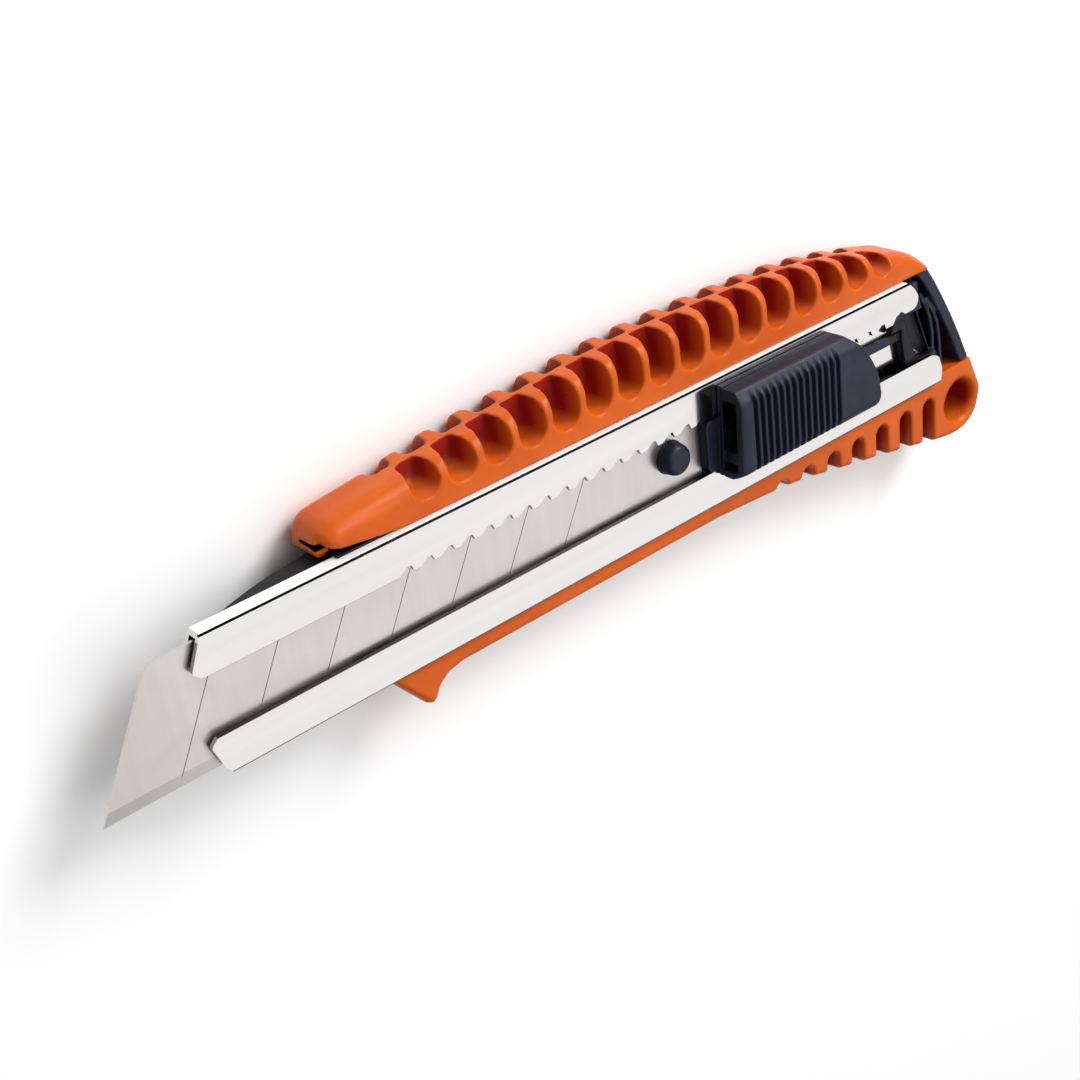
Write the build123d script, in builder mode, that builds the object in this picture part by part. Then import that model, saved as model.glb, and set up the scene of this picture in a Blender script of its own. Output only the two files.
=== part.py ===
"""Snap-off knife: a scored blade in a steel sheath, in a ribbed grip with a locking thumb slider.

Millimetres. +X runs from the blade's tip to the tail, +Y to the ribbed back, +Z out of the slider's face.
The origin lies on the grip's flat back, under the blade's centre line, half way along the sheath.
"""

from build123d import *
import os
from math import tan, radians

os.makedirs("parts", exist_ok=True)

# blade
blade_length = 100.0
blade_width = 18.0
blade_thickness = 0.5
blade_slant = 60.0
score_pitch = 10.0
score_count = 7
score_width = 0.16
score_depth = 0.12
edge_bevel = 1.8
edge_land = 0.06
hole_from_tail = 6.0
hole_offset = 1.0

# sheath
sheath_length = 140.0
sheet = 0.7
side_clearance = 0.4
blade_headroom = 0.43
web_clearance = 0.1
upper_lip = 5.7
lower_lip = 5.8
bend_radius = 0.5
lip_corner = 0.6
lip_tail_corner = 1.4
notch_corner = 0.28
upper_lip_setback = 8.0

# lock notches along the upper lip
notch_pitch = score_pitch / 3
notch_depth = 0.95
first_notch = 32.0
rest_notch = 19
lock_to_tip = 110.33

# grip
grip_thickness = 10.6
rail_proud = 1.03
floor_wall = 2.0
rim_wall = 0.4
rim_drop = 0.5
fit_gap = 0.05
nose_inset = 0.6
nose_setback = 21.0
belly_setback = 27.0
back_rise_nose = 5.1
back_rise_mid = 9.6
belly_wall = 3.3
tail_overhang = 11.8
tail_drop = 12.1
edge_round = 1.0
rib_pitch = 5.97
rib_pocket = 3.8
rib_rim = 2.4
web_wall = 0.7
cell_pitch = 13.0
cell_wall = 1.6
belly_pocket = 3.0
belly_pocket_depth = 1.8
belly_pocket_count = 7
hang_hole_r = 3.6
hang_hole_lip = 0.8
hang_hole_inset = 6.2

# slider
peg_r = 2.6
peg_end_r = 2.3
peg_height = 2.4
peg_clearance = 0.05
tongue_thickness = 0.5
slide_gap = 0.1
plate_thickness = 0.9
button_length = 31.4
button_height = 3.9
front_slant = 0.8
button_wall = 1.2
button_travel = 1.2
button_gap = 0.1
groove_count = 14
groove_pitch = 1.38
groove_width = 0.6
groove_depth = 0.45
spring_thickness = 0.35
spring_bay = 7.0
block_length = 25.9
button_setback = 2.4

# end cap
cap_gap = 0.15
cap_rim = 4.4
cap_dish = 3.0
cap_tongue = 19.0
cap_tongue_width = 1.6

# levels, from the flat back up
rail_face = grip_thickness + rail_proud
lip_under = rail_face - sheet
blade_top = lip_under - blade_headroom
blade_under = blade_top - blade_thickness
tongue_under = blade_under - tongue_thickness
web_top = tongue_under - web_clearance
web_under = web_top - sheet

# places across and along
channel_half = blade_width / 2 + side_clearance
half = channel_half + sheet
lip_edge_up = half - upper_lip
lip_edge_down = -half + lower_lip
cavity_half = half + rim_wall
nose_end = -sheath_length / 2
tail_end = sheath_length / 2
upper_tail_end = tail_end - upper_lip_setback
lock_x = nose_end + first_notch + rest_notch * notch_pitch
tip_x = lock_x - lock_to_tip
blade_tail = tip_x + blade_length
peg_x = blade_tail - hole_from_tail
slant_run = blade_width / tan(radians(blade_slant))
grip_nose = nose_end + nose_setback
belly_nose = nose_end + belly_setback
core_tail = upper_tail_end - 4.0
cap_top_edge = half - 0.1
cap_low_edge = -half + 0.9

# slider places
block_front = blade_tail + 0.1
block_rear = block_front + block_length
button_front = blade_tail + button_setback
button_rear = button_front + button_length
button_low = lip_edge_down - 0.8
button_high = half - 1.2
plate_under = rail_face + slide_gap
plate_top = plate_under + plate_thickness
button_under = plate_top + button_gap
button_top = button_under + button_height


def slanted(x, y):
    """x of the blade's slant at height y, for a slant that starts at x on the cutting edge."""
    return x + (y + blade_width / 2) / tan(radians(blade_slant))


def save(piece, name):
    piece.part.label = name
    export_step(piece.part, "parts/" + name + ".step")


# outline of the grip, seen from the slider's side
hole_x = tail_end + hang_hole_inset
hole_y = -half - hang_hole_inset
with BuildSketch() as outline:
    with BuildLine():
        back = Spline(
            (grip_nose + 2.2, half + back_rise_nose),
            (grip_nose + 15, half + 6.3),
            (-16, half + 8.1),
            (5, half + back_rise_mid),
            (30, half + back_rise_mid - 0.3),
            (tail_end - 25, half + 8.1),
            (tail_end - 11, half + 5.3),
            (tail_end - 3, half + 2.0),
        )
        end = ThreePointArc(
            back @ 1,
            (tail_end + 4.5, 0.8),
            (tail_end + tail_overhang, hole_y + 2.3),
        )
        tail = ThreePointArc(
            end @ 1,
            (hole_x + 3.9, hole_y - 4.2),
            (hole_x - 1.5, -half - tail_drop),
        )
        belly = Spline(
            tail @ 1,
            (tail_end - 8, -half - 9.7),
            (tail_end - 24, -half - 6.6),
            (tail_end - 36, -half - 4.5),
            (18, -half - belly_wall),
            tangents=[(-1, 0.2), (-1, 0)],
        )
        strip = Line(belly @ 1, (belly_nose + 11.5, -half - belly_wall))
        guard_back = ThreePointArc(
            strip @ 1,
            (belly_nose + 9.0, -half - belly_wall - 0.6),
            (belly_nose + 6.4, -half - belly_wall - 3.4),
        )
        guard_tip = ThreePointArc(
            guard_back @ 1,
            (belly_nose + 5.5, -half - belly_wall - 3.9),
            (belly_nose + 4.6, -half - belly_wall - 3.3),
        )
        guard_front = Line(guard_tip @ 1, (belly_nose, -half - 0.9))
        front = Line(guard_front @ 1, (grip_nose, half + 1.0))
        nose = Line(front @ 1, (grip_nose, half + 3.1))
        nose_round = TangentArc(nose @ 1, back @ 0, tangent=(0, 1))
    make_face()

# grip shell
with BuildPart() as grip_shell:
    add(outline.sketch)
    extrude(amount=grip_thickness)
    fillet(grip_shell.faces().sort_by(Axis.Z)[-1].outer_wire().edges(), edge_round)
    fillet(grip_shell.faces().sort_by(Axis.Z)[0].outer_wire().edges(), edge_round)
    # bay for the core and the sheath
    with BuildSketch(Plane.XY.offset(floor_wall)):
        with BuildLine():
            Polyline(
                (nose_end, cavity_half),
                (core_tail, cavity_half),
                (core_tail, half + 0.1),
                (upper_tail_end + 3.4, half + 0.1),
                (tail_end + 0.6, -half - 0.1),
                (core_tail, -half - 0.1),
                (core_tail, -cavity_half),
                (nose_end, -cavity_half),
                close=True,
            )
        make_face()
    extrude(amount=grip_thickness, mode=Mode.SUBTRACT)
    # bay for the end cap
    with BuildSketch(Plane.XY.offset(floor_wall)):
        with BuildLine():
            Polyline(
                (core_tail, cap_top_edge + cap_gap),
                (tail_end + 30, cap_top_edge + cap_gap),
                (tail_end + 30, cap_low_edge - cap_gap),
                (core_tail, cap_low_edge - cap_gap),
                close=True,
            )
        make_face()
    extrude(amount=grip_thickness, mode=Mode.SUBTRACT)
    # finger ribs: round-bottomed pockets from each face to a thin middle web, half a pitch apart
    rib_start = grip_nose + 16.5
    rib_count = int((tail_end - 12.5 - rib_start) / rib_pitch) + 1
    pocket_depth = grip_thickness / 2 - web_wall / 2
    for start, level in ((rib_start, grip_thickness - pocket_depth), (rib_start - rib_pitch / 2, 0)):
        with BuildSketch(Plane.XY.offset(level)):
            for i in range(rib_count):
                with Locations((start + i * rib_pitch, half + rib_rim + rib_pocket / 2)):
                    Circle(rib_pocket / 2)
                with Locations((start + i * rib_pitch, half + rib_rim + rib_pocket / 2 + 10)):
                    Rectangle(rib_pocket, 20)
        extrude(amount=pocket_depth, mode=Mode.SUBTRACT)
    # smaller pockets along the belly, towards the tail
    belly_start = tail_end - 2.2 - (belly_pocket_count - 1) * rib_pitch
    for level in (grip_thickness - belly_pocket_depth, 0):
        with BuildSketch(Plane.XY.offset(level)):
            for i in range(belly_pocket_count):
                with Locations((belly_start + i * rib_pitch, -half - 2.8 - belly_pocket / 2)):
                    Circle(belly_pocket / 2)
                with Locations((belly_start + i * rib_pitch, -half - 2.8 - belly_pocket / 2 - 10)):
                    Rectangle(belly_pocket, 20)
        extrude(amount=belly_pocket_depth, mode=Mode.SUBTRACT)
    # hang hole through the tail
    with BuildSketch():
        with Locations((hole_x, hole_y)):
            Circle(hang_hole_r)
    extrude(amount=grip_thickness, mode=Mode.SUBTRACT)
    lips = grip_shell.edges().filter_by(GeomType.CIRCLE).filter_by(
        lambda e: abs(e.radius - hang_hole_r) < 0.001 and abs(e.arc_center.X - hole_x) < 0.001
    )
    fillet(lips, hang_hole_lip)
save(grip_shell, "grip_shell")

# core: the tray that carries the sheath
core_nose = nose_end + 7.0
with BuildPart() as core:
    with BuildSketch(Plane.XZ.offset(-cavity_half + fit_gap)):
        with BuildLine():
            under = Spline(
                (core_nose, web_under - 0.6),
                (core_nose + 7, web_under - 2.9),
                (grip_nose + 1, floor_wall + 2.4),
            )
            Polyline(
                under @ 1,
                (grip_nose + 4, floor_wall),
                (core_tail - fit_gap, floor_wall),
                (core_tail - fit_gap, grip_thickness - rim_drop),
                (grip_nose + 2, grip_thickness - rim_drop),
                (grip_nose + 2, web_under),
                (core_nose, web_under),
                under @ 0,
            )
        make_face()
    extrude(amount=2 * (cavity_half - fit_gap))
    # trough for the sheath
    with BuildSketch(Plane.XY.offset(web_under)):
        Rectangle(2 * sheath_length, 2 * half + 2 * fit_gap)
    extrude(amount=grip_thickness, mode=Mode.SUBTRACT)
    # the part ahead of the grip is narrower than the sheath
    with BuildSketch(Plane.XY):
        with Locations((grip_nose + 2, half - nose_inset)):
            Rectangle(nose_setback, 10, align=(Align.MAX, Align.MIN))
        with Locations((belly_nose + 2, -half + nose_inset)):
            Rectangle(belly_setback, 10, align=(Align.MAX, Align.MAX))
    extrude(amount=grip_thickness, mode=Mode.SUBTRACT)
    # hollow underside with cross ribs
    cell_start = grip_nose + 12
    cell_count = int((core_tail - 8 - cell_start) / cell_pitch) + 1
    with BuildSketch(Plane.XY.offset(floor_wall)):
        for i in range(cell_count):
            with Locations((cell_start + i * cell_pitch, 0)):
                RectangleRounded(cell_pitch - cell_wall, 2 * half - 2.4, 1.5)
    extrude(amount=web_under - floor_wall - cell_wall, mode=Mode.SUBTRACT)
save(core, "core")

# sheath: a folded steel channel
with BuildPart() as sheath:
    with BuildSketch(Plane.YZ.offset(nose_end)):
        with Locations((0, (rail_face + web_under) / 2)):
            Rectangle(2 * half, rail_face - web_under)
        with Locations((0, (lip_under + web_top) / 2)):
            Rectangle(2 * channel_half, lip_under - web_top, mode=Mode.SUBTRACT)
        with Locations(((lip_edge_up + lip_edge_down) / 2, rail_face)):
            Rectangle(lip_edge_up - lip_edge_down, 3 * sheet, mode=Mode.SUBTRACT)
    extrude(amount=sheath_length)
    fillet(
        sheath.edges().filter_by(Axis.X).filter_by(lambda e: abs(abs(e.center().Y) - half) < 0.01),
        bend_radius,
    )
    # both ends are cut on the slant, with rounded lip corners and a small hook at the upper lip's tail
    with BuildSketch(Plane.XY.offset(web_under - 1)):
        with BuildLine():
            Polyline(
                (nose_end + 2.8, half + 1),
                (nose_end + 0.1, lip_edge_up + 1.1),
                (nose_end + 1.7, lip_edge_up - 0.3),
                (nose_end + 1.7, lip_edge_down + 0.4),
                (nose_end, lip_edge_down - 0.9),
                (nose_end + 1.2, -half + 1.2),
                (nose_end + 3.0, -half - 1),
                (tail_end - 0.5, -half - 1),
                (tail_end, -half + 2.6),
                (tail_end - 0.9, lip_edge_down - 0.8),
                (tail_end - 3.4, lip_edge_down + 0.3),
                (upper_tail_end - 4.8, lip_edge_up - 0.5),
                (upper_tail_end - 3.4, lip_edge_up + 1.1),
                (upper_tail_end - 2.2, lip_edge_up + 1.6),
                (upper_tail_end - 1.2, lip_edge_up + 0.9),
                (upper_tail_end + 1.5, lip_edge_up + 1.0),
                (upper_tail_end + 2.2, half - 3.0),
                (upper_tail_end + 1.1, half - 1.3),
                (upper_tail_end - 1.4, half + 1),
                close=True,
            )
        make_face()
        fillet(vertices().filter_by(lambda v: abs(v.Y) < half and v.X < 0), lip_corner)
        tail_corners = vertices().filter_by(lambda v: 1 < abs(v.Y) < half and v.X > upper_tail_end)
        fillet(tail_corners, lip_tail_corner)
    extrude(amount=rail_face, mode=Mode.INTERSECT)
    # lock notches: a gentle side towards the nose and a steep side towards the tail
    notch_count = int((upper_tail_end - 4.0 - (nose_end + first_notch)) / notch_pitch) + 1
    with BuildSketch(Plane.XY.offset(lip_under - 0.1)):
        for i in range(notch_count):
            root = nose_end + first_notch + i * notch_pitch
            with BuildLine():
                Polyline(
                    (root - 1.9, lip_edge_up - 0.1),
                    (root - 0.35, lip_edge_up + notch_depth),
                    (root + 0.35, lip_edge_up + notch_depth),
                    (root + 0.75, lip_edge_up - 0.1),
                    close=True,
                )
            make_face()
        fillet(vertices().filter_by(lambda v: v.Y > lip_edge_up), notch_corner)
    extrude(amount=3 * sheet, mode=Mode.SUBTRACT)
save(sheath, "sheath")

# blade
edge_y = -blade_width / 2
with BuildPart() as blade:
    with BuildSketch(Plane.XY.offset(blade_under)):
        with BuildLine():
            Polyline(
                (tip_x, edge_y),
                (slanted(tip_x, blade_width / 2 - 0.8), blade_width / 2 - 0.8),
                (tip_x + slant_run + 0.5, blade_width / 2),
                (blade_tail - 2.0, blade_width / 2),
                (blade_tail, blade_width / 2 - 2.0),
                (blade_tail, edge_y + 2.0),
                (blade_tail - 2.0, edge_y),
                close=True,
            )
        make_face()
    extrude(amount=blade_thickness)
    # ground edge: a wedge off both faces
    grind = blade_thickness / 2 - edge_land / 2
    with BuildSketch(Plane.YZ.offset(tip_x - 1)):
        for face_z, way in ((blade_top, -1), (blade_under, 1)):
            with BuildLine():
                Polyline(
                    (edge_y - 0.5, face_z),
                    (edge_y + edge_bevel, face_z),
                    (edge_y, face_z + way * grind),
                    (edge_y - 0.5, face_z + way * grind),
                    close=True,
                )
            make_face()
    extrude(amount=blade_length + 2, mode=Mode.SUBTRACT)
    # snap lines scored into the upper face
    with BuildSketch(Plane.XY.offset(blade_top - score_depth)):
        for i in range(1, score_count + 1):
            foot = tip_x + i * score_pitch
            with BuildLine():
                Polyline(
                    (slanted(foot, edge_y - 1), edge_y - 1),
                    (slanted(foot, -edge_y + 1), -edge_y + 1),
                    (slanted(foot, -edge_y + 1) + score_width, -edge_y + 1),
                    (slanted(foot, edge_y - 1) + score_width, edge_y - 1),
                    close=True,
                )
            make_face()
    extrude(amount=blade_thickness, mode=Mode.SUBTRACT)
    # hole for the peg
    with BuildSketch(Plane.XY.offset(blade_under)):
        with Locations((peg_x, hole_offset)):
            Circle(peg_r + peg_clearance)
    extrude(amount=blade_thickness, mode=Mode.SUBTRACT)
save(blade, "blade")

# outline of the thumb button, seen from above
with BuildSketch() as button_outline:
    with BuildLine():
        low_side = Line((button_front, button_low), (button_rear - 0.3, button_low))
        rear_low = Line(low_side @ 1, (button_rear, button_low + 2.7))
        rear = ThreePointArc(
            rear_low @ 1,
            (button_rear - 2.0, button_high - 5.2),
            (button_rear - 6.5, button_high),
        )
        Polyline(rear @ 1, (button_front + front_slant, button_high), (button_front, button_low))
    make_face()

# blade carrier: tongue, peg, block, neck, top plate
neck_low = lip_edge_down + 0.2
neck_high = lip_edge_up - 0.2
neck_rear = block_rear
guide_low = button_low + button_wall + 1.0
guide_high = neck_low + 3.0
guide_front = button_front + 0.6
guide_rear = button_rear - button_wall - button_travel - 1.2
bay_front = lock_x - spring_bay
bay_rear = lock_x + spring_bay
bay_low = neck_high - 2.2
with BuildPart() as blade_carrier:
    # tongue under the blade's tail
    with BuildSketch(Plane.XY.offset(tongue_under)):
        with Locations((peg_x - 6.5, 0)):
            RectangleRounded(
                block_front - peg_x + 13, 2 * channel_half - 4, 2, align=(Align.MIN, Align.CENTER)
            )
    extrude(amount=tongue_thickness)
    # peg through the blade's hole
    with BuildSketch(Plane.XY.offset(blade_under)):
        with Locations((peg_x, hole_offset)):
            Circle(peg_r)
    extrude(amount=blade_thickness)
    with BuildSketch(Plane.XY.offset(blade_top)):
        with Locations((peg_x, hole_offset)):
            Circle(peg_r)
    with BuildSketch(Plane.XY.offset(blade_top + peg_height)):
        with Locations((peg_x, hole_offset)):
            Circle(peg_end_r)
    loft()
    # block that slides inside the channel
    with BuildSketch(Plane.XY.offset(tongue_under)):
        with Locations((block_front, 0)):
            Rectangle(block_rear - block_front, 2 * (channel_half - 0.2), align=(Align.MIN, Align.CENTER))
        fillet(vertices().group_by(Axis.X)[0], 2.0)
    extrude(amount=lip_under - slide_gap - tongue_under)
    # neck between the lips
    with BuildSketch(Plane.XY.offset(lip_under - 0.5)):
        with Locations((block_front, neck_low)):
            Rectangle(neck_rear - block_front, neck_high - neck_low, align=(Align.MIN, Align.MIN))
        fillet(vertices().group_by(Axis.X)[0].sort_by(Axis.Y)[-1], 1.6)
    extrude(amount=plate_under - lip_under + 0.6)
    # top plate over the lips
    with BuildSketch(Plane.XY.offset(plate_under)):
        add(button_outline.sketch)
        with Locations((button_front + front_slant, button_high)):
            Rectangle(button_length - 7.0, 0.5, align=(Align.MIN, Align.CENTER))
    extrude(amount=plate_thickness)
    # guide inside the button
    with BuildSketch(Plane.XY.offset(plate_under)):
        with Locations((guide_front, guide_low)):
            Rectangle(guide_rear - guide_front, guide_high - guide_low, align=(Align.MIN, Align.MIN))
    extrude(amount=button_top - button_wall - 0.3 - plate_under)
    # bay for the lock spring
    with BuildSketch(Plane.XY.offset(tongue_under + tongue_thickness)):
        with Locations((bay_front, bay_low)):
            Rectangle(bay_rear - bay_front, neck_high - bay_low + 2.0, align=(Align.MIN, Align.MIN))
    extrude(amount=button_height + 4, mode=Mode.SUBTRACT)
    # groove over the end cap's tongue
    with BuildSketch(Plane.XY.offset(tongue_under)):
        with Locations((block_rear, lip_edge_up / 4)):
            Rectangle(15.5, cap_tongue_width + 0.6, align=(Align.MAX, Align.CENTER))
    extrude(amount=1.0, mode=Mode.SUBTRACT)
save(blade_carrier, "blade_carrier")

# lock spring: a bowed leaf with a tooth for the notches
leaf_low = tongue_under + tongue_thickness
leaf_height = plate_top - leaf_low
bow = neck_high - 0.7
with BuildPart() as lock_spring:
    with BuildSketch(Plane.XY.offset(leaf_low)):
        with BuildLine():
            outer_bow = ThreePointArc((bay_front, bay_low + 0.5), (lock_x, bow), (bay_rear, bay_low + 0.5))
            right = Line(outer_bow @ 1, (bay_rear, bay_low + 0.5 - spring_thickness))
            inner_bow = ThreePointArc(
                right @ 1,
                (lock_x, bow - spring_thickness),
                (bay_front, bay_low + 0.5 - spring_thickness),
            )
            Line(inner_bow @ 1, outer_bow @ 0)
        make_face()
    extrude(amount=leaf_height)
    with BuildSketch(Plane.XY.offset(lip_under - 0.1)):
        with BuildLine():
            Polyline(
                (lock_x - 1.3, bow - 0.2),
                (lock_x - 0.25, lip_edge_up + notch_depth - 0.15),
                (lock_x + 0.25, lip_edge_up + notch_depth - 0.15),
                (lock_x + 0.5, bow - 0.2),
                close=True,
            )
        make_face()
    extrude(amount=sheet + 0.1)
save(lock_spring, "lock_spring")

# thumb button: a hollow cover, grooved across the top
with BuildPart() as thumb_button:
    with BuildSketch(Plane.XY.offset(button_under)):
        add(button_outline.sketch)
    extrude(amount=button_height)
    fillet(thumb_button.faces().sort_by(Axis.Z)[-1].edges().filter_by(Axis.X), 1.0)
    with BuildSketch(Plane.XY.offset(button_under)):
        offset(button_outline.sketch, amount=-button_wall)
        with Locations((button_front - 1, button_low + button_wall)):
            Rectangle(6, button_high - button_low - 2 * button_wall, align=(Align.MIN, Align.MIN))
    extrude(amount=button_height - button_wall, mode=Mode.SUBTRACT)
    groove_start = button_front + 3.6
    with BuildSketch(Plane.XY.offset(button_top - groove_depth)):
        for i in range(groove_count):
            with Locations((groove_start + i * groove_pitch, (button_low + button_high) / 2)):
                Rectangle(groove_width, button_high - button_low + 1)
    extrude(amount=groove_depth + 1, mode=Mode.SUBTRACT)
save(thumb_button, "thumb_button")

# end cap
plug_low = web_top + slide_gap
plug_high = lip_under - slide_gap
cap_face = grip_thickness - 0.3
cap_front = core_tail + cap_gap
with BuildPart() as end_cap:
    # outer body, cut to the grip's own outline
    add(outline.sketch)
    extrude(amount=cap_face)
    fillet(end_cap.faces().sort_by(Axis.Z)[-1].outer_wire().edges(), edge_round)
    with BuildSketch(Plane.XY.offset(floor_wall + fit_gap)):
        with BuildLine():
            Polyline(
                (cap_front, cap_top_edge),
                (tail_end + 30, cap_top_edge),
                (tail_end + 30, cap_low_edge),
                (cap_front, cap_low_edge),
                close=True,
            )
        make_face()
    extrude(amount=grip_thickness, mode=Mode.INTERSECT)
    # room for the sheath's tail
    with BuildSketch(Plane.XY.offset(web_under - fit_gap)):
        with BuildLine():
            Polyline(
                (core_tail - 1, half + 1),
                (upper_tail_end + 2.6, half + 1),
                (upper_tail_end + 2.6, half - 3.1),
                (tail_end + 0.3, -half + 2.6),
                (tail_end + 0.3, -half - 1),
                (core_tail - 1, -half - 1),
                close=True,
            )
        make_face()
    extrude(amount=grip_thickness, mode=Mode.SUBTRACT)
    # dished inside the outer rim
    with BuildSketch(Plane.XY.offset(cap_face - cap_dish)):
        with BuildLine():
            dish_out = ThreePointArc(
                (tail_end + 4.1 - cap_rim - 4.6, half - 2.2),
                (tail_end + 4.5 - cap_rim + 1.4, 0.8),
                (tail_end + 9.0 - cap_rim, cap_low_edge - 1),
            )
            Polyline(dish_out @ 1, (core_tail, cap_low_edge - 1), (core_tail, half - 2.2), dish_out @ 0)
        make_face()
    extrude(amount=cap_dish + 1, mode=Mode.SUBTRACT)
    # forked plug inside the channel
    with BuildSketch(Plane.XY.offset(plug_low)):
        with BuildLine():
            Polyline(
                (core_tail + 2.2, channel_half - 0.2),
                (core_tail + 0.2, lip_edge_up / 4 + 1.2),
                (core_tail + 5.0, lip_edge_up / 4 + 1.2),
                (core_tail + 5.0, lip_edge_up / 4 - 1.2),
                (core_tail + 4.6, -channel_half + 0.2),
                (tail_end + 1.5, -channel_half + 0.2),
                (upper_tail_end + 4.5, channel_half - 0.2),
                close=True,
            )
        make_face()
    extrude(amount=plug_high - plug_low)
    # tongue that reaches forward over the web
    with BuildSketch(Plane.XY.offset(plug_low)):
        with Locations((core_tail + 5.2, lip_edge_up / 4)):
            Rectangle(cap_tongue, cap_tongue_width, align=(Align.MAX, Align.CENTER))
    extrude(amount=0.8)
save(end_cap, "end_cap")
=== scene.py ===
import bpy
import numpy as np
from mathutils import Matrix, Vector


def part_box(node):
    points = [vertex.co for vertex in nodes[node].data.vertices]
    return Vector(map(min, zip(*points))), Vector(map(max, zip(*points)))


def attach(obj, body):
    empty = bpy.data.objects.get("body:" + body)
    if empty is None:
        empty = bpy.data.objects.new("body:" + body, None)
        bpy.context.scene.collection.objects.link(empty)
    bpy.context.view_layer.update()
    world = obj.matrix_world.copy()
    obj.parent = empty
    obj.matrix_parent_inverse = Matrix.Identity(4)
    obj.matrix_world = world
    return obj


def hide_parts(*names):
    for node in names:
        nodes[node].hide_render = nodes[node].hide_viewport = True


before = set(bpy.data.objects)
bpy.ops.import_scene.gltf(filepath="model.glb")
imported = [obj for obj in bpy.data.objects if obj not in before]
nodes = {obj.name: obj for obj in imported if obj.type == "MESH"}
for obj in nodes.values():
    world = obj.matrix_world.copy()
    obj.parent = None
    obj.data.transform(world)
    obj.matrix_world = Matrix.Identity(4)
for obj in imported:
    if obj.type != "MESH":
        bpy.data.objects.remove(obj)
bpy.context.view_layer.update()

mm = 0.001
farAway = 1e9
tinyLength = 1e-9
tinyArea = 1e-12


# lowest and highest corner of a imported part, in millimetres
def boxOf(node):
    low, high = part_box(node)
    return np.array(low) / mm, np.array(high) / mm


gripLow, gripHigh = boxOf("grip_shell")
buttonLow, buttonHigh = boxOf("thumb_button")
carrierLow, carrierHigh = boxOf("blade_carrier")
capLow, capHigh = boxOf("end_cap")
coreHigh = boxOf("core")[1]
sheathHigh = boxOf("sheath")[1]

# the folded sheath, which the other pieces are placed from
sheath = dict(
    gripSetback=21.0,  # the grip starts this far behind the sheath's nose
    upperLip=5.7,  # width of the lip with the notches
    lowerLip=5.8,
    upperLipSetback=8.0,  # the notched lip stops this far before the tail
    sheet=0.7,
    # painted shade and a painted dark reflection along the lips' cut edges
    cutEdge=dict(reach=0.03, colour=(0.004, 0.004, 0.005)),
    # a painted dark reflection along each bend
    bend=dict(across=(0.06, 0.34), depth=0.5, colour=(0.002, 0.002, 0.002)),
    # a painted white reflection on the sides, with the metal turned off there
    side=dict(colour=(0.95, 0.95, 0.95), metallic=0.0),
)
noseEnd = gripLow[0] - sheath["gripSetback"]
tailEnd = -noseEnd
half = sheathHigh[1]  # half the sheath's width
railFace = sheathHigh[2]
lipUp = half - sheath["upperLip"]
lipDown = -half + sheath["lowerLip"]
upperTail = tailEnd - sheath["upperLipSetback"]
sheet = sheath["sheet"]
print("frame loaded, sheath from", noseEnd, "to", tailEnd)


def newMaterial(name, colour, roughness, metallic=0.0):
    mat = bpy.data.materials.new(name)
    mat.use_nodes = True
    shader = mat.node_tree.nodes["Principled BSDF"]
    shader.inputs["Base Color"].default_value = (*colour, 1)
    shader.inputs["Roughness"].default_value = roughness
    shader.inputs["Metallic"].default_value = metallic
    return mat, mat.node_tree, shader


def stretchedNoise(tree, scale, stretch=(1, 1, 1), detail=3.0, distortion=0.0):
    place = tree.nodes.new("ShaderNodeTexCoord")
    mapping = tree.nodes.new("ShaderNodeMapping")
    mapping.inputs["Scale"].default_value = stretch
    noise = tree.nodes.new("ShaderNodeTexNoise")
    noise.inputs["Scale"].default_value = scale
    noise.inputs["Detail"].default_value = detail
    noise.inputs["Distortion"].default_value = distortion
    tree.links.new(place.outputs["Object"], mapping.inputs["Vector"])
    tree.links.new(mapping.outputs["Vector"], noise.inputs["Vector"])
    return noise.outputs["Fac"]


# as they stand, fromLow and fromHigh take in most of a noise's values
def rampOn(tree, source, low, high, fromLow=0.3, fromHigh=0.7):
    ramp = tree.nodes.new("ShaderNodeMapRange")
    ramp.inputs["From Min"].default_value = fromLow
    ramp.inputs["From Max"].default_value = fromHigh
    ramp.inputs["To Min"].default_value = low
    ramp.inputs["To Max"].default_value = high
    tree.links.new(source, ramp.inputs["Value"])
    return ramp.outputs["Result"]


def mathOn(tree, operation, first, second=None, third=None):
    node = tree.nodes.new("ShaderNodeMath")
    node.operation = operation
    for i, value in enumerate((first, second, third)):
        if isinstance(value, (int, float)):
            node.inputs[i].default_value = float(value)
        elif value is not None:
            tree.links.new(value, node.inputs[i])
    return node.outputs["Value"]


def tintOn(tree, shader, amount, dark, light):
    mix = tree.nodes.new("ShaderNodeMix")
    mix.data_type = "RGBA"
    mix.inputs["A"].default_value = (*dark, 1)
    mix.inputs["B"].default_value = (*light, 1)
    tree.links.new(amount, mix.inputs["Factor"])
    tree.links.new(mix.outputs["Result"], shader.inputs["Base Color"])


# lays another colour over the one that the shader already has
def tintWhere(tree, shader, mask, colour):
    before = shader.inputs["Base Color"].links[0].from_socket
    mix = tree.nodes.new("ShaderNodeMix")
    mix.data_type = "RGBA"
    mix.inputs["B"].default_value = (*colour, 1)
    tree.links.new(mask, mix.inputs["Factor"])
    tree.links.new(before, mix.inputs["A"])
    tree.links.new(mix.outputs["Result"], shader.inputs["Base Color"])


def bumpOn(tree, shader, height, strength, distance):
    bump = tree.nodes.new("ShaderNodeBump")
    bump.inputs["Strength"].default_value = strength
    bump.inputs["Distance"].default_value = distance
    tree.links.new(height, bump.inputs["Height"])
    tree.links.new(bump.outputs["Normal"], shader.inputs["Normal"])


# the object's own x, y and z on each point of a surface
def placeOn(tree):
    place = tree.nodes.new("ShaderNodeTexCoord")
    split = tree.nodes.new("ShaderNodeSeparateXYZ")
    tree.links.new(place.outputs["Object"], split.inputs["Vector"])
    return split.outputs


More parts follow.
